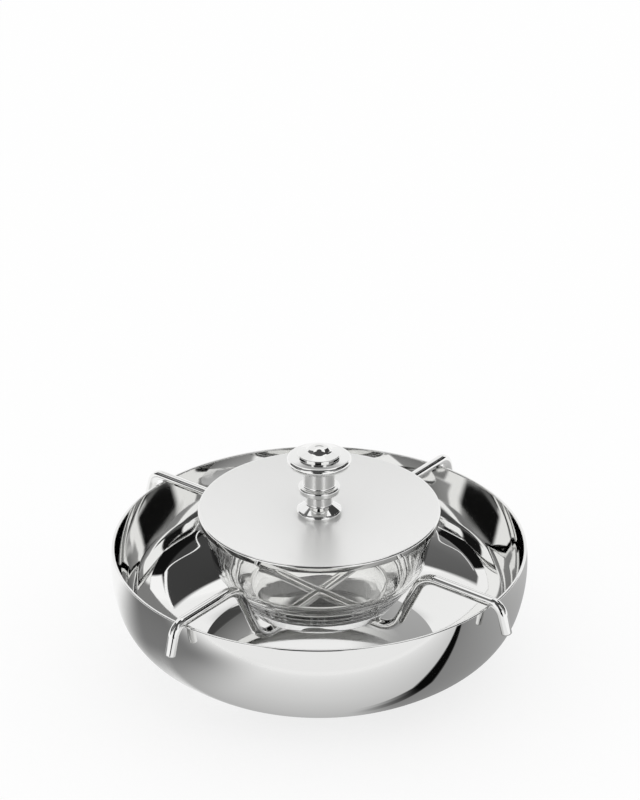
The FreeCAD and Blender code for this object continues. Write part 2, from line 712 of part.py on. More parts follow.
def check(doc, bodies):
    for thing in doc.Objects:
        if "Invalid" in thing.State or "Error" in thing.State:
            raise ValueError(f"{thing.Name} failed: {thing.State}")
    for body in bodies:
        if body.Shape.isNull() or not body.Shape.isValid():
            raise ValueError(f"{body.Label} has no valid shape")
        if len(body.Shape.Solids) != 1:
            raise ValueError(f"{body.Label} is {len(body.Shape.Solids)} solids")


def main():
    doc = FreeCAD.newDocument("CaviarServer")
    make_sheet(doc)
    bodies = [
        build_ice_bowl(doc),
        build_glass_dish(doc),
        build_rod(doc, "cradle_rod_over", "Sizes.rod_angle", notch_above=False),
        build_rod(doc, "cradle_rod_under", "Sizes.rod_angle + 90", notch_above=True),
        build_lid(doc),
        build_knob(doc),
        build_washer(doc),
        build_screw(doc),
    ]
    doc.recompute()
    check(doc, bodies)
    os.makedirs("parts", exist_ok=True)
    for body in bodies:
        body.Shape.exportStep(os.path.join("parts", f"{body.Label}.step"))
        box = body.Shape.BoundBox
        print(f"{body.Label}: {body.Shape.Volume / 1000:.2f} cm3, z {box.ZMin:.2f} to {box.ZMax:.2f}")


main()
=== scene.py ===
import math

import bpy
from mathutils import Matrix, Vector


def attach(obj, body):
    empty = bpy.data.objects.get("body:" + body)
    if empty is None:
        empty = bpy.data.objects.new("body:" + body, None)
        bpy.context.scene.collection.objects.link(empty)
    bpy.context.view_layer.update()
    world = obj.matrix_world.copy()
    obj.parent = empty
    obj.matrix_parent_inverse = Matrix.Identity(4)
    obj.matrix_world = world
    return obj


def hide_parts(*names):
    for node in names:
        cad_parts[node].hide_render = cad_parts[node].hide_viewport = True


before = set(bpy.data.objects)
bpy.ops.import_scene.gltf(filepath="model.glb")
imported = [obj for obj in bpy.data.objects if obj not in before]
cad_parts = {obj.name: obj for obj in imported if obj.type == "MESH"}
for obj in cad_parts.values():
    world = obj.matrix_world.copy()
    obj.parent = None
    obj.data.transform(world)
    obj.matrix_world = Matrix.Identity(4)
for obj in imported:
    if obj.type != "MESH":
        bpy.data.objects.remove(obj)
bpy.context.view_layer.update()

# The pieces' sizes are in mm and are turned to metres where a mesh is made
MM = 0.001
SAME_PLACE = 1e-5
ROUND_SEGMENTS = 240
KNOB_SEGMENTS = 144
LARGE_ARC = 12.0
LARGE_ARC_STEP = math.radians(1.5)
SMALL_ARC_STEP = math.radians(6)


# Outlines of turned pieces. An outline is a list of (radius, height, out, up): a point
# and the direction that its surface faces. It runs with the material on its left.
def straight(start, end):
    length = math.dist(start, end)
    out = (end[1] - start[1]) / length
    up = (start[0] - end[0]) / length
    return [(*start, out, up), (*end, out, up)]


def arc(centre, radius, first, last):
    """Points on an arc from one angle to the other; it runs clockwise if last is smaller."""
    step = LARGE_ARC_STEP if radius > LARGE_ARC else SMALL_ARC_STEP
    count = max(2, math.ceil(abs(last - first) / step))
    side = 1 if last > first else -1
    points = []
    for index in range(count + 1):
        angle = first + (last - first) * index / count
        out, up = math.cos(angle), math.sin(angle)
        points.append((centre[0] + radius * out, centre[1] + radius * up, side * out, side * up))
    return points


def fillet(before, corner, after, radius):
    """An arc that rounds a corner between two straight runs."""
    back = Vector((before[0] - corner[0], before[1] - corner[1])).normalized()
    on = Vector((after[0] - corner[0], after[1] - corner[1])).normalized()
    half = back.angle(on) / 2
    middle = Vector(corner[:2]) + (back + on).normalized() * (radius / math.sin(half))
    reach = radius / math.tan(half)
    start = Vector(corner[:2]) + back * reach - middle
    end = Vector(corner[:2]) + on * reach - middle
    first = math.atan2(start.y, start.x)
    turn = (math.atan2(end.y, end.x) - first + math.pi) % (2 * math.pi) - math.pi
    return arc(tuple(middle), radius, first, first + turn)


def rounded(corners):
    """Straight runs through corners of (radius, height, rounding), each one rounded."""
    points = []
    here = corners[0][:2]
    for before, corner, after in zip(corners, corners[1:], corners[2:]):
        bend = fillet(before[:2], corner[:2], after[:2], corner[2])
        if math.dist(here, bend[0][:2]) > SAME_PLACE:
            points += straight(here, bend[0][:2])
        points += bend
        here = bend[-1][:2]
    points += straight(here, corners[-1][:2])
    return points


def merged(points):
    """The outline without points that lie on the one before."""
    kept = [points[0]]
    for point in points[1:]:
        if math.dist(point[:2], kept[-1][:2]) > SAME_PLACE:
            kept.append(point)
    return kept


def turned(name, outline, segments=ROUND_SEGMENTS):
    """A piece turned round the Z axis from its outline, with the outline's own normals."""
    outline = merged(outline)
    closed = math.dist(outline[0][:2], outline[-1][:2]) < SAME_PLACE
    if closed:
        outline = outline[:-1]
    vertices, normals, rings = [], [], []
    for radius, height, out, up in outline:
        if radius < SAME_PLACE:
            rings.append([len(vertices)] * segments)
            vertices.append((0, 0, height * MM))
            normals.append((0, 0, math.copysign(1, up)))
            continue
        rings.append(list(range(len(vertices), len(vertices) + segments)))
        for index in range(segments):
            angle = 2 * math.pi * index / segments
            across, along = math.cos(angle), math.sin(angle)
            vertices.append((radius * across * MM, radius * along * MM, height * MM))
            normals.append((out * across, out * along, up))
    faces = []
    pairs = list(zip(rings, rings[1:])) + ([(rings[-1], rings[0])] if closed else [])
    for low, high in pairs:
        for index in range(segments):
            following = (index + 1) % segments
            corners = [low[index], low[following], high[following], high[index]]
            faces.append(list(dict.fromkeys(corners)))
    return new_mesh(name, vertices, faces, normals)


def new_mesh(name, vertices, faces, normals=None):
    mesh = bpy.data.meshes.new(name)
    mesh.from_pydata(vertices, [], faces)
    mesh.validate()
    mesh.shade_smooth()
    if normals:
        mesh.normals_split_custom_set_from_vertices(normals)
    piece = bpy.data.objects.new(name, mesh)
    bpy.context.scene.collection.objects.link(piece)
    return piece


# Materials: the spacings of their patterns in mm, the spacing that a wave texture has at
# scale 1, and the share of the satin silver that shines
WHEEL_MARK = 1.5
SPUN_RING = 0.8
GLASS_WAVE = 14.0
TOOL_GROOVE = 0.6
WAVE_AT_SCALE_1 = 0.31
SHINE_SHARE = 0.6


def linear(colour):
    """An sRGB hex colour as the linear values that a socket wants."""
    parts = [int(colour[index : index + 2], 16) / 255 for index in (1, 3, 5)]
    return [p / 12.92 if p <= 0.04045 else ((p + 0.055) / 1.055) ** 2.4 for p in parts] + [1.0]


def add(tree, kind, sockets=None, links=None, **settings):
    """Adds one node with its settings, its sockets' values and the links into it."""
    node = tree.nodes.new(kind)
    for key, value in settings.items():
        setattr(node, key, value)
    for key, value in (sockets or {}).items():
        node.inputs[key].default_value = value
    for key, source in (links or {}).items():
        tree.links.new(source, node.inputs[key])
    return node


def new_material(name):
    material = bpy.data.materials.new(name)
    material.use_nodes = True
    material.node_tree.nodes.clear()
    return material, material.node_tree


def finish_with(material, *pieces):
    for piece in pieces:
        piece.data.materials.clear()
        piece.data.materials.append(material)


def polished_silver(name, wave, depth):
    """Silver plate, buffed to a mirror: it throws back nearly all light, in neutral grey.
    The buffing wheel leaves long shallow waves that bend the reflections, and a haze of
    fine wheel marks, drawn at 1.5 mm because the real ones are too fine to show."""
    material, tree = new_material(name)
    place = add(tree, "ShaderNodeTexCoord")
    waves = add(
        tree,
        "ShaderNodeTexNoise",
        {"Scale": 1 / (wave * MM), "Detail": 1.0, "Roughness": 0.4},
        {"Vector": place.outputs["Object"]},
    )
    relief = add(
        tree,
        "ShaderNodeBump",
        {"Strength": 1.0, "Distance": depth * MM},
        {"Height": waves.outputs["Fac"]},
    )
    marks = add(
        tree,
        "ShaderNodeTexNoise",
        {"Scale": 1 / (WHEEL_MARK * MM), "Detail": 2.0},
        {"Vector": place.outputs["Object"]},
    )
    haze = add(
        tree,
        "ShaderNodeMapRange",
        {"To Min": 0.015, "To Max": 0.05},
        {"Value": marks.outputs["Fac"]},
    )
    metal = add(
        tree,
        "ShaderNodeBsdfPrincipled",
        {"Base Color": linear("#f3f3f2"), "Metallic": 1.0},
        {"Normal": relief.outputs["Normal"], "Roughness": haze.outputs["Result"]},
    )
    add(tree, "ShaderNodeOutputMaterial", None, {"Surface": metal.outputs["BSDF"]})
    return material


def satin_silver():
    """Silver plate, spun and frosted: the larger share of the light comes back as a soft
    haze, and the rest scatters evenly, as off frost. The spinning rings round the middle
    are drawn 0.8 mm wide, so that they show."""
    material, tree = new_material("spun_satin_silver_plate")
    place = add(tree, "ShaderNodeTexCoord")
    flat = add(
        tree,
        "ShaderNodeVectorMath",
        {1: (1, 1, 0)},
        {0: place.outputs["Object"]},
        operation="MULTIPLY",
    )
    radius = add(
        tree, "ShaderNodeVectorMath", None, {0: flat.outputs["Vector"]}, operation="LENGTH"
    )
    rings = add(
        tree,
        "ShaderNodeTexNoise",
        {"Scale": 1 / (SPUN_RING * MM), "Detail": 2.0},
        {"W": radius.outputs["Value"]},
        noise_dimensions="1D",
    )
    relief = add(
        tree,
        "ShaderNodeBump",
        {"Strength": 0.05, "Distance": 0.05 * MM},
        {"Height": rings.outputs["Fac"]},
    )
    haze = add(
        tree,
        "ShaderNodeMapRange",
        {"To Min": 0.28, "To Max": 0.34},
        {"Value": rings.outputs["Fac"]},
    )
    metal = add(
        tree,
        "ShaderNodeBsdfPrincipled",
        {"Base Color": linear("#f1f1f0"), "Metallic": SHINE_SHARE},
        {"Normal": relief.outputs["Normal"], "Roughness": haze.outputs["Result"]},
    )
    add(tree, "ShaderNodeOutputMaterial", None, {"Surface": metal.outputs["BSDF"]})
    return material


def clear_glass():
    """Crystal glass, pressed and fire polished: colourless and clear. The mould leaves
    soft waves some 14 mm long, which make the lines seen through it swim a little."""
    material, tree = new_material("clear_pressed_crystal_glass")
    place = add(tree, "ShaderNodeTexCoord")
    waves = add(
        tree,
        "ShaderNodeTexNoise",
        {"Scale": 1 / (GLASS_WAVE * MM), "Detail": 0.0},
        {"Vector": place.outputs["Object"]},
    )
    relief = add(
        tree,
        "ShaderNodeBump",
        {"Strength": 1.0, "Distance": 0.12 * MM},
        {"Height": waves.outputs["Fac"]},
    )
    glass = add(
        tree,
        "ShaderNodeBsdfPrincipled",
        {
            "Base Color": linear("#fdfdfc"),
            "Roughness": 0.0,
            "IOR": 1.52,
            "Transmission Weight": 1.0,
        },
        {"Normal": relief.outputs["Normal"]},
    )
    add(tree, "ShaderNodeOutputMaterial", None, {"Surface": glass.outputs["BSDF"]})
    return material


def turned_steel():
    """Plain steel of the screw and its washer, turned and unplated: a duller grey with
    the tool's grooves, drawn 0.6 mm apart, coarser than the real ones, so that they show."""
    material, tree = new_material("turned_steel")
    place = add(tree, "ShaderNodeTexCoord")
    grooves = add(
        tree,
        "ShaderNodeTexWave",
        {"Scale": WAVE_AT_SCALE_1 / (TOOL_GROOVE * MM), "Distortion": 1.0},
        {"Vector": place.outputs["Object"]},
        wave_type="RINGS",
        rings_direction="Z",
    )
    relief = add(
        tree,
        "ShaderNodeBump",
        {"Strength": 0.3, "Distance": 0.02 * MM},
        {"Height": grooves.outputs["Fac"]},
    )
    metal = add(
        tree,
        "ShaderNodeBsdfPrincipled",
        {"Base Color": linear("#c4c4c4"), "Metallic": 1.0, "Roughness": 0.3},
        {"Normal": relief.outputs["Normal"]},
    )
    add(tree, "ShaderNodeOutputMaterial", None, {"Surface": metal.outputs["BSDF"]})
    return material


# Ice bowl
BOWL_DEPTH = 60.0
RIM_RADIUS = 100.0
BOWL_WALL = 1.5
BASE_RADIUS = 57.0
BASE_CORNER = math.radians(17.0)
BOTTOM_RADIUS = 85.0
SHOULDER_RADIUS = 31.5
SWELL = 0.57
SWELL_DROP = 8.8
RIM_ROUND = 0.6
EDGE_WIDTH = 0.3


def bowl_outline():
    """Flat base with a crisp edge, round bottom, shoulder and side, over the rolled rim
    and back inside."""
    side_radius = (SWELL_DROP**2 + SWELL**2) / (2 * SWELL)
    side = Vector((RIM_RADIUS + SWELL - side_radius, BOWL_DEPTH - SWELL_DROP))
    lean = Vector((-math.sin(BASE_CORNER), math.cos(BASE_CORNER)))
    bottom = Vector((BASE_RADIUS, 0)) + lean * BOTTOM_RADIUS
    span = bottom - side
    to_side = side_radius - SHOULDER_RADIUS
    to_bottom = BOTTOM_RADIUS - SHOULDER_RADIUS
    along = (to_side**2 - to_bottom**2 + span.length**2) / (2 * span.length)
    beside = math.sqrt(to_side**2 - along**2)
    unit = span.normalized()
    shoulder = side + unit * along + Vector((unit.y, -unit.x)) * beside
    side_turn = math.atan2(shoulder.y - side.y, shoulder.x - side.x)
    bottom_turn = math.atan2(shoulder.y - bottom.y, shoulder.x - bottom.x)
    rim_turn = math.asin((BOWL_DEPTH - RIM_ROUND - side.y) / (side_radius - RIM_ROUND))
    in_radius = side_radius - BOWL_WALL
    in_turn = math.asin((BOWL_DEPTH - RIM_ROUND - side.y) / (in_radius + RIM_ROUND))
    in_bottom = BOTTOM_RADIUS - BOWL_WALL
    base_turn = BASE_CORNER - math.pi / 2
    floor_turn = -math.asin((bottom.y - BOWL_WALL) / in_bottom)
    floor_edge = bottom.x + in_bottom * math.cos(floor_turn)

    def rim_centre(radius, turn):
        return side.x + radius * math.cos(turn), side.y + radius * math.sin(turn)

    return (
        straight((0, 0), (BASE_RADIUS - EDGE_WIDTH, 0))
        + arc(bottom, BOTTOM_RADIUS, base_turn, bottom_turn)
        + arc(shoulder, SHOULDER_RADIUS, bottom_turn, side_turn)
        + arc(side, side_radius, side_turn, rim_turn)
        + arc(rim_centre(side_radius - RIM_ROUND, rim_turn), RIM_ROUND, rim_turn, math.pi / 2)
        + arc(rim_centre(in_radius + RIM_ROUND, in_turn), RIM_ROUND, math.pi / 2, math.pi + in_turn)
        + arc(side, in_radius, in_turn, side_turn)
        + arc(shoulder, SHOULDER_RADIUS - BOWL_WALL, side_turn, bottom_turn)
        + arc(bottom, in_bottom, bottom_turn, floor_turn)
        + straight((floor_edge - EDGE_WIDTH, BOWL_WALL), (0, BOWL_WALL))
    )


# Glass dish
DISH_BASE = 29.8
DISH_TOP = 77.1
DISH_RIM = 56.6
DISH_KNEE = 51.2
DISH_KNEE_HEIGHT = 50.1
DISH_FOOT = 36.5
KNEE_ROUND = 15.0
INNER_ROUND = 9.0
FOOT_ROUND = 1.2
LIP_ROUND = 1.1
LIP_WALL = 2.6
KNEE_WALL = 3.2
FLOOR_TOP = 36.3
FLOOR_EDGE = 31.5
LINE_HEIGHTS = (8.2, 12.3, 16.4)
LINE_RADIUS = 1.1
LINE_DEPTH = 0.35


def dish_outline():
    """Flat base, lower side with three pressed ring lines, steep upper side, soft lip."""
    foot = (DISH_FOOT, DISH_BASE)
    knee = (DISH_KNEE, DISH_KNEE_HEIGHT)
    lip = (DISH_RIM, DISH_TOP)
    heel = fillet((0, DISH_BASE), foot, knee, FOOT_ROUND)
    turn = fillet(foot, knee, lip, KNEE_ROUND)
    rise = (Vector(knee) - Vector(foot)).normalized()
    away = Vector((rise.y, -rise.x))
    slope = (DISH_KNEE - DISH_FOOT) / (DISH_KNEE_HEIGHT - DISH_BASE)
    side = []
    here = heel[-1][:2]
    for height in LINE_HEIGHTS:
        across = DISH_FOOT + slope * height + LINE_RADIUS - LINE_DEPTH
        middle = Vector((across, DISH_BASE + height))
        proud = (middle - Vector(foot)).dot(away)
        half = math.acos(proud / LINE_RADIUS)
        inward = math.atan2(-away.y, -away.x)
        line = arc(tuple(middle), LINE_RADIUS, inward + half, inward - half)
        side += straight(here, line[0][:2]) + line
        here = line[-1][:2]
    side += straight(here, turn[0][:2])
    rest = rounded(
        (
            turn[-1][:2],
            (DISH_RIM, DISH_TOP, LIP_ROUND),
            (DISH_RIM - LIP_WALL, DISH_TOP, LIP_ROUND),
            (DISH_KNEE - KNEE_WALL, DISH_KNEE_HEIGHT, INNER_ROUND),
            (FLOOR_EDGE, FLOOR_TOP, INNER_ROUND),
            (0, FLOOR_TOP),
        )
    )
    return straight((0, DISH_BASE), heel[0][:2]) + heel + side + turn + rest


# Lid: a shallow dish of sheet, part of a large ball, with its edge turned down
LID_RADIUS = 58.2
LID_SHEET = 1.2
LID_DISH = 2.9
LID_SKIRT = 3.4
LID_EDGE_ROUND = 0.9
SKIRT_ROUND = 0.3
SCREW_HOLE = 2.2
SEAT_GAP = 0.05
LIP_INSIDE = DISH_RIM - LIP_WALL
BALL = (LID_RADIUS**2 + LID_DISH**2) / (2 * LID_DISH)
BALL_MIDDLE = DISH_TOP + SEAT_GAP + math.sqrt((BALL + LID_SHEET) ** 2 - LIP_INSIDE**2)


def ball_turn(radius, across):
    """The angle at which a circle round the ball's middle is this far from the axis."""
    return -math.acos(across / radius)


def lid_outline():
    under = BALL + LID_SHEET
    inside = LID_RADIUS - LID_SHEET
    top = BALL_MIDDLE - BALL + LID_DISH
    foot = top - LID_SKIRT
    round_in = LID_RADIUS - LID_EDGE_ROUND
    edge_turn = ball_turn(BALL + LID_EDGE_ROUND, round_in)
    edge_height = BALL_MIDDLE + (BALL + LID_EDGE_ROUND) * math.sin(edge_turn)
    below = arc((0, BALL_MIDDLE), under, ball_turn(under, SCREW_HOLE), ball_turn(under, inside))
    skirt = rounded(
        (
            below[-1][:2],
            (inside, foot, SKIRT_ROUND),
            (LID_RADIUS, foot, SKIRT_ROUND),
            (LID_RADIUS, edge_height),
        )
    )
    edge = arc((round_in, edge_height), LID_EDGE_ROUND, 0, edge_turn + math.pi)
    above = arc((0, BALL_MIDDLE), BALL, edge_turn, ball_turn(BALL, SCREW_HOLE))
    return below + skirt + edge + above + straight(above[-1][:2], below[0][:2])


# Knob: the radii of its parts, and their heights above its foot on the lid
BORE_RADIUS = 2.05
BORE_DEPTH = 12.0
FOOT_RADIUS = 11.2
FOOT_EDGE = 2.0
WAIST_RADIUS = 6.3
WAIST_FOOT = 5.2
RING_RADIUS = 10.1
RING_FOOT = 10.9
RING_TOP = 14.7
NECK_RADIUS = 7.7
DISC_RADIUS = 15.45
DISC_FOOT = 25.9
DISC_TOP = 29.7
TIER_RADIUS = 10.4
TIER_FOOT = 30.3
TIER_TOP = 31.9
BOSS_RADIUS = 6.2
BOSS_FOOT = 33.3
BOSS_TOP = 36.0
KNOB_BREAK = 0.15
KNOB_COVE = 1.0
RING_ROUND = 1.3
DISC_ROUND = 1.85
TIER_ROUND = 0.5
BOSS_COVE = 3.0
KNOB_BASE = BALL_MIDDLE - math.sqrt(BALL**2 - FOOT_RADIUS**2) + SEAT_GAP
KNOB_STEPS = (
    (0, BORE_DEPTH),
    (BORE_RADIUS, BORE_DEPTH, KNOB_BREAK),
    (BORE_RADIUS, 0, KNOB_BREAK),
    (FOOT_RADIUS, 0, KNOB_BREAK),
    (FOOT_RADIUS, FOOT_EDGE, DISC_ROUND),
    (WAIST_RADIUS, WAIST_FOOT, KNOB_COVE),
    (WAIST_RADIUS, RING_FOOT, KNOB_COVE),
    (RING_RADIUS, RING_FOOT, RING_ROUND),
    (RING_RADIUS, RING_TOP, RING_ROUND),
    (NECK_RADIUS, RING_TOP, KNOB_COVE),
    (NECK_RADIUS, DISC_FOOT, KNOB_COVE),
    (DISC_RADIUS, DISC_FOOT, DISC_ROUND),
    (DISC_RADIUS, DISC_TOP, DISC_ROUND),
    (TIER_RADIUS, TIER_FOOT, KNOB_BREAK),
    (TIER_RADIUS, TIER_TOP, TIER_ROUND),
)


def knob_outline():
    """Sloping foot, waist, ring, neck, disc and tier, then a round boss in a soft cove."""
    rise = BOSS_TOP - BOSS_FOOT
    ball = (BOSS_RADIUS**2 + rise**2) / (2 * rise)
    middle = Vector((0, BOSS_TOP - ball))
    edge = Vector(KNOB_STEPS[-1][:2])
    inward = (Vector((BOSS_RADIUS, BOSS_FOOT)) - edge).normalized()
    upward = Vector((-inward.y, inward.x)) * (1 if inward.x > 0 else -1)
    start = edge + upward * BOSS_COVE - middle
    lead = start.dot(inward)
    reach = -lead - math.sqrt(lead**2 - start.length_squared + (ball + BOSS_COVE) ** 2)
    cove = middle + start + inward * reach
    foot = cove - upward * BOSS_COVE
    to_ball = middle - cove
    first = math.atan2(-upward.y, -upward.x)
    last = math.atan2(to_ball.y, to_ball.x)
    if last > first:
        last -= 2 * math.pi
    dome = math.atan2(-to_ball.y, -to_ball.x)
    points = (
        rounded(KNOB_STEPS + (tuple(foot),))
        + arc(tuple(cove), BOSS_COVE, first, last)
        + arc(tuple(middle), ball, dome, math.pi / 2)
    )
    return [(r, KNOB_BASE + z, out, up) for r, z, out, up in points]


# Cradle rods. ROD_CORNERS are the corners of half a rod, from its middle out to the
# hook: how far out, how high, and the bend's radius.
ROD_TURN = -38.0
ROD_RADIUS = 2.5
ROD_SEGMENTS = 48
ROD_END_ROUND = 0.8
ROD_END_STEPS = 4
ROD_LAP = 2.55
LAP_GAP = 0.05
LOW_RUN = 27.25
HIGH_RUN = 62.55
ROD_CORNERS = (
    (45.4, LOW_RUN, 14.0),
    (62.3, HIGH_RUN, 12.0),
    (105.6, HIGH_RUN, 7.0),
)
HOOK_END = (109.63, 48.5)


def rod_end(point, way):
    """The rings that round off one end of a rod; way is 1 at its far end, -1 at its near."""
    x, z, out, up = point
    rings = []
    for step in range(ROD_END_STEPS + 1):
        turn = math.pi / 2 * step / ROD_END_STEPS
        back = ROD_END_ROUND * (math.sin(turn) - 1) * way
        radius = ROD_RADIUS - ROD_END_ROUND * (1 - math.cos(turn))
        lean = math.sin(turn) * way
        rings.append((x - up * back, z + out * back, out, up, radius, lean, False))
    return rings


def rod_rings():
    """Rings along a rod, from one hook's end to the other's. Each holds its middle, the
    way that its first point faces, its radius, how far its surface leans towards the
    rod's end, and whether it is halved."""
    left = [(-x, z, r) for x, z, r in ROD_CORNERS[::-1]]
    corners = [(-HOOK_END[0], HOOK_END[1])] + left + list(ROD_CORNERS) + [HOOK_END]
    path = merged(rounded(corners))
    rings = [(*point, ROD_RADIUS, 0.0, False) for point in path]
    middle = next(i for i, point in enumerate(path) if point[0] > 0)
    lap = ((-ROD_LAP, False), (-ROD_LAP, True), (ROD_LAP, True), (ROD_LAP, False))
    rings[middle:middle] = [(x, LOW_RUN, 0.0, -1.0, ROD_RADIUS, 0.0, cut) for x, cut in lap]
    return rod_end(path[0], -1)[::-1] + rings[1:-1] + rod_end(path[-1], 1)


def bent_rod(name, angle, halved_above):
    """A round rod bent in one plane, the same both ways, and halved where the two cross."""
    face = LOW_RUN + (-LAP_GAP if halved_above else LAP_GAP) / 2
    keep = min if halved_above else max
    into_place = Matrix.Rotation(math.radians(angle), 3, "Z")
    rings = rod_rings()
    vertices, normals = [], []
    for x, z, out, up, radius, lean, halved in rings:
        flat = math.sqrt(1 - lean**2)
        for index in range(ROD_SEGMENTS):
            turn = 2 * math.pi * index / ROD_SEGMENTS
            aside, away = math.sin(turn), math.cos(turn)
            height = z + radius * away * up
            if halved:
                height = keep(height, face)
            point = Vector((x + radius * away * out, radius * aside, height)) * MM
            facing = Vector(
                (away * out * flat - up * lean, aside * flat, away * up * flat + out * lean)
            )
            vertices.append(into_place @ point)
            normals.append(into_place @ facing)
    faces = [tuple(reversed(range(ROD_SEGMENTS)))]
    for row in range(len(rings) - 1):
        low, high = row * ROD_SEGMENTS, (row + 1) * ROD_SEGMENTS
        for index in range(ROD_SEGMENTS):
            following = (index + 1) % ROD_SEGMENTS
            faces.append((low + index, low + following, high + following, high + index))
    faces.append(tuple(range(len(vertices) - ROD_SEGMENTS, len(vertices))))
    return new_mesh(name, vertices, faces, normals)


# The pieces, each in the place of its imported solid
bowl_silver = polished_silver("mirror_polished_silver_plate", wave=30.0, depth=0.02)
rod_silver = polished_silver("polished_silver_plated_rod", wave=12.0, depth=0.004)
knob_silver = polished_silver("polished_silver_plated_knob", wave=8.0, depth=0.002)
satin = satin_silver()
glass = clear_glass()
steel = turned_steel()

bowl = turned("polished_ice_bowl", bowl_outline())
dish = turned("clear_glass_dish", dish_outline())
rod_over = bent_rod("bent_rod_over", ROD_TURN, halved_above=False)
rod_under = bent_rod("bent_rod_under", ROD_TURN + 90, halved_above=True)
lid = turned("dished_lid", lid_outline())
knob = turned("turned_lid_knob", knob_outline(), KNOB_SEGMENTS)

for piece, material, node, slot in (
    (bowl, bowl_silver, "ice_bowl", "silver_plate"),
    (dish, glass, "glass_dish", "clear_glass"),
    (rod_over, rod_silver, "cradle_rod_over", "silver_plate"),
    (rod_under, rod_silver, "cradle_rod_under", "silver_plate"),
    (lid, satin, "lid", "satin_silver"),
    (knob, knob_silver, "lid_knob", "silver_plate"),
):
    finish_with(material, piece)
    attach(piece, "root")
    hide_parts(node)

finish_with(steel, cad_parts["knob_washer"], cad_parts["knob_screw"])

# The lid's turned-down edge is buffed bright; only the dished top stays satin
lid.data.materials.append(knob_silver)
bright_from = (LID_RADIUS - LID_EDGE_ROUND) * MM
for face in lid.data.polygons:
    if math.hypot(face.center.x, face.center.y) > bright_from:
        face.material_index = 1

# Studio: white paper under plain white light. To the camera, the metal and the glass the
# paper shows FLOOR_WHITE of plain white; the rest is matt and keeps the shadow.
FLOOR_SIZE = 6.0
FLOOR_WHITE = 0.75
floor = new_mesh(
    "floor",
    [(x * FLOOR_SIZE, y * FLOOR_SIZE, 0) for x, y in ((-1, -1), (1, -1), (1, 1), (-1, 1))],
    [(0, 1, 2, 3)],
)
paper, tree = new_material("white_paper")
matt = add(tree, "ShaderNodeBsdfDiffuse", {"Color": linear("#fcfcfc")})
white = add(tree, "ShaderNodeEmission", {"Color": linear("#ffffff"), "Strength": 1.0})
ray = add(tree, "ShaderNodeLightPath")
seen = add(
    tree,
    "ShaderNodeMath",
    None,
    {0: ray.outputs["Is Camera Ray"], 1: ray.outputs["Is Glossy Ray"]},
    operation="MAXIMUM",
)
seen = add(
    tree,
    "ShaderNodeMath",
    None,
    {0: seen.outputs[0], 1: ray.outputs["Is Transmission Ray"]},
    operation="MAXIMUM",
)
share = add(
    tree,
    "ShaderNodeMath",
    {1: FLOOR_WHITE},
    {0: seen.outputs[0]},
    operation="MULTIPLY",
)
lit = add(
    tree,
    "ShaderNodeMixShader",
    None,
    {0: share.outputs[0], 1: matt.outputs[0], 2: white.outputs[0]},
)
add(tree, "ShaderNodeOutputMaterial", None, {"Surface": lit.outputs[0]})
finish_with(paper, floor)

world = bpy.data.worlds.new("studio")
world.use_nodes = True
world.node_tree.nodes.clear()
sky = add(world.node_tree, "ShaderNodeBackground", {"Color": linear("#ffffff"), "Strength": 1.0})
add(world.node_tree, "ShaderNodeOutputWorld", None, {"Surface": sky.outputs["Background"]})
bpy.context.scene.world = world

# Cards that only the polished metal sees, as a photographer hangs them round such a
# piece. Some hang on a sphere, its radius in metres; the others lie on the table, in mm.
# The near card and the left card on the table are painted shadow: the bowl's own shadow
# on the table, as the metal mirrors it.
CARD_DISTANCE = 1.3
CARD_GAP = 0.03
CARD_MIDDLE = 0.05
LEAN_FROM = 30
TABLE_CARD_LIFT = 0.5
TABLE_CARD_GAP = 0.4


def card_material():
    """Card that shows its own grey, thinning out towards its soft edges."""
    material, tree = new_material("soft_edged_card")
    grey = add(tree, "ShaderNodeAttribute", attribute_name="grey")
    cover = add(tree, "ShaderNodeAttribute", attribute_name="cover")
    glow = add(tree, "ShaderNodeEmission", None, {"Color": grey.outputs["Color"]})
    clear = add(tree, "ShaderNodeBsdfTransparent")
    mix = add(
        tree,
        "ShaderNodeMixShader",
        None,
        {0: cover.outputs["Fac"], 1: clear.outputs[0], 2: glow.outputs[0]},
    )
    add(tree, "ShaderNodeOutputMaterial", None, {"Surface": mix.outputs[0]})
    return material


card_finish = card_material()


def smooth(share):
    """From 0 to 1 with a soft start and a soft end."""
    share = min(1.0, max(0.0, share))
    return share * share * (3 - 2 * share)


def card(name, place, across, up, greys, soft):
    """A card over a grid of two coordinates; place turns them into a point. greys are
    its levels at the corners, lower then upper. soft holds the fade at its sides, the
    fade at its ends and the grid's step."""
    columns = max(2, round((across[1] - across[0]) / soft[2]) + 1)
    rows = max(2, round((up[1] - up[0]) / soft[2]) + 1)
    vertices, cover, grey = [], [], []
    for row in range(rows):
        high = row / (rows - 1)
        v = up[0] + (up[1] - up[0]) * high
        for column in range(columns):
            along = column / (columns - 1)
            u = across[0] + (across[1] - across[0]) * along
            vertices.append(place(u, v))
            side = min(u - across[0], across[1] - u)
            end = min(v - up[0], up[1] - v)
            side_cover = smooth(side / soft[0]) if soft[0] else 1
            end_cover = smooth(end / soft[1]) if soft[1] else 1
            cover.append(side_cover * end_cover)
            low_grey = greys[0] + (greys[1] - greys[0]) * along
            high_grey = greys[2] + (greys[3] - greys[2]) * along
            grey.append(low_grey + (high_grey - low_grey) * high)
    faces = [
        (r * columns + c, r * columns + c + 1, (r + 1) * columns + c + 1, (r + 1) * columns + c)
        for r in range(rows - 1)
        for c in range(columns - 1)
    ]
    piece = new_mesh(name, vertices, faces)
    piece.data.attributes.new("cover", "FLOAT", "POINT").data.foreach_set("value", cover)
    piece.data.attributes.new("grey", "FLOAT", "POINT").data.foreach_set("value", grey)
    finish_with(card_finish, piece)
    piece.visible_camera = False
    piece.visible_diffuse = False
    piece.visible_transmission = False
    piece.visible_shadow = False


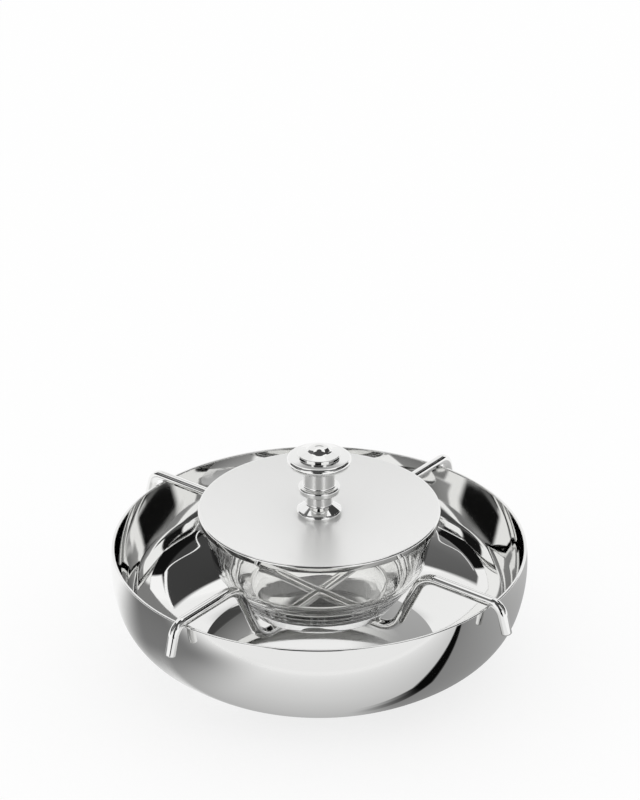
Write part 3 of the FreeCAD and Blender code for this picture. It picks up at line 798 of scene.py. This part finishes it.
def hung(distance, line, lean):
    """Places on a sphere round the server, from azimuth (0 is +X, 90 the back) and
    elevation; line gives the height that the elevation is counted from, and lean is how
    many degrees the card's side moves over for each degree above LEAN_FROM."""

    def place(azimuth, elevation):
        azimuth += lean * (elevation - LEAN_FROM)
        if line:
            elevation += line(azimuth)
        a, e = math.radians(azimuth), math.radians(elevation)
        return (
            distance * math.cos(e) * math.cos(a),
            distance * math.cos(e) * math.sin(a),
            CARD_MIDDLE + distance * math.sin(e),
        )

    return place


def lying(height, slope):
    """Places on the table, in mm; slope turns a card a little askew."""

    def place(x, y):
        return x * MM, (y + slope * x) * MM, height * MM

    return place


def bow(level, steps):
    """The elevation of a bow of light: its level, and what each step adds to it from one
    azimuth to another."""

    def elevation(azimuth):
        return level + sum(
            rise * smooth((azimuth - first) / (last - first)) for first, last, rise in steps
        )

    return elevation


right_bow = bow(22, ((-12, 8, 20), (11, 33, -11), (30, 58, -3)))
left_bow = bow(22, ((196, 180, 13), (180, 164, -6)))

# Name, azimuths, elevations, greys, soft edges, line and lean
HUNG_CARDS = (
    ("right_line", (-12, 57), (-0.7, 0.7), (1, 1, 1, 1), (2, 0, 0.5), right_bow, 0),
    ("left_line", (146, 196), (-0.6, 0.6), (0.6, 1, 0.6, 1), (2, 0, 0.5), left_bow, 0),
    ("camera_gap", (-113, -77), (-8, 27), (0.008,) * 4, (4, 3, 1), None, 0),
    ("camera_band", (-121, -57), (24, 35), (0.006,) * 4, (8, 2, 1), None, 0),
    ("camera_shade", (-126, -62), (33, 61), (0.05, 0.05, 0.08, 0.08), (9, 3, 2), None, 0),
    ("right_black", (-12, 38), (10, 31), (0.006,) * 4, (2, 2, 1), None, 0),
    ("left_black", (148, 192), (10, 28), (0.006,) * 4, (2, 1, 1), None, 0),
    ("right_flag", (-12, 56), (28, 60), (0.05, 0.05, 0.07, 0.04), (2, 1, 1), None, -0.6),
    ("right_wing", (-50, -2), (27, 62), (0.40, 0.08, 0.2, 0.06), (4, 2, 1), None, 0),
    ("left_flag", (138, 218), (27, 60), (0.10, 0.3, 0.12, 0.12), (2, 1, 1), None, 0.7),
    ("right_low", (-42, -8), (6, 29), (0.24,) * 4, (4, 3, 1), None, 0),
    ("left_low", (178, 206), (6, 28), (0.22,) * 4, (4, 3, 1), None, 0),
    ("ceiling", (-180, 0), (58, 89.9), (0.07,) * 4, (0, 0, 2), None, 0),
    ("ceiling_back", (0, 180), (76, 89.9), (0.07,) * 4, (0, 0, 2), None, 0),
    ("back_shade", (64, 116), (35, 52), (0.4,) * 4, (12, 7, 2), None, 0),
    ("back_scrim", (50, 150), (8, 62), (0.95, 0.95, 0.9, 0.9), (3, 3, 2), None, 0),
)
for index, (name, across, up, greys, soft, line, lean) in enumerate(HUNG_CARDS):
    place = hung(CARD_DISTANCE + index * CARD_GAP, line, lean)
    card(name, place, across, up, greys, soft)

# Name, across, away from the camera, greys, soft edges and slope
LYING_CARDS = (
    ("table_far", (-420, 420), (-420, -150), (0.88,) * 4, (60, 20, 10), 0),
    # Painted shadow: the bowl's contact shadow on the table in front, as the metal mirrors it,
    # darker towards the bowl
    ("table_near_painted_shadow", (-420, 420), (-166, -50), (0.88, 0.88, 0.45, 0.3), (60, 14, 6), 0),
    # Painted shadow: the bowl's shadow on the table to its left, as the metal mirrors it
    ("table_left_painted_shadow", (-320, -50), (-205, 10), (0.13, 0.22, 0.13, 0.22), (70, 80, 5), -0.29),
    ("table_right", (12, 420), (-82, 150), (0.22, 0.22, 0.6, 0.6), (30, 3, 3), -0.133),
    ("table_edge", (14, 420), (-86, -73), (0.003,) * 4, (50, 1.5, 1), -0.133),
    ("table_gap", (-300, 170), (-1250, -430), (0.01,) * 4, (50, 60, 20), 0),
)
for index, (name, across, up, greys, soft, slope) in enumerate(LYING_CARDS):
    place = lying(TABLE_CARD_LIFT + TABLE_CARD_GAP * index, slope)
    card(name, place, across, up, greys, soft)

# Camera: fitted to the rim, the lid and the arms in the photograph
CAMERA_FOCUS_PX = 2419.0
FRAME_HEIGHT_PX = 800
CAMERA_PLACE = (0.0004, -1.0192, 0.6348)
CAMERA_DIP = 26.10
SENSOR = 36.0
camera = bpy.data.objects.new("camera", bpy.data.cameras.new("camera"))
camera.data.sensor_width = SENSOR
camera.data.lens = CAMERA_FOCUS_PX / FRAME_HEIGHT_PX * SENSOR
camera.location = CAMERA_PLACE
camera.rotation_euler = (math.radians(90 - CAMERA_DIP), 0, 0)
bpy.context.scene.collection.objects.link(camera)
bpy.context.scene.camera = camera

bpy.context.scene.view_settings.view_transform = "Standard"
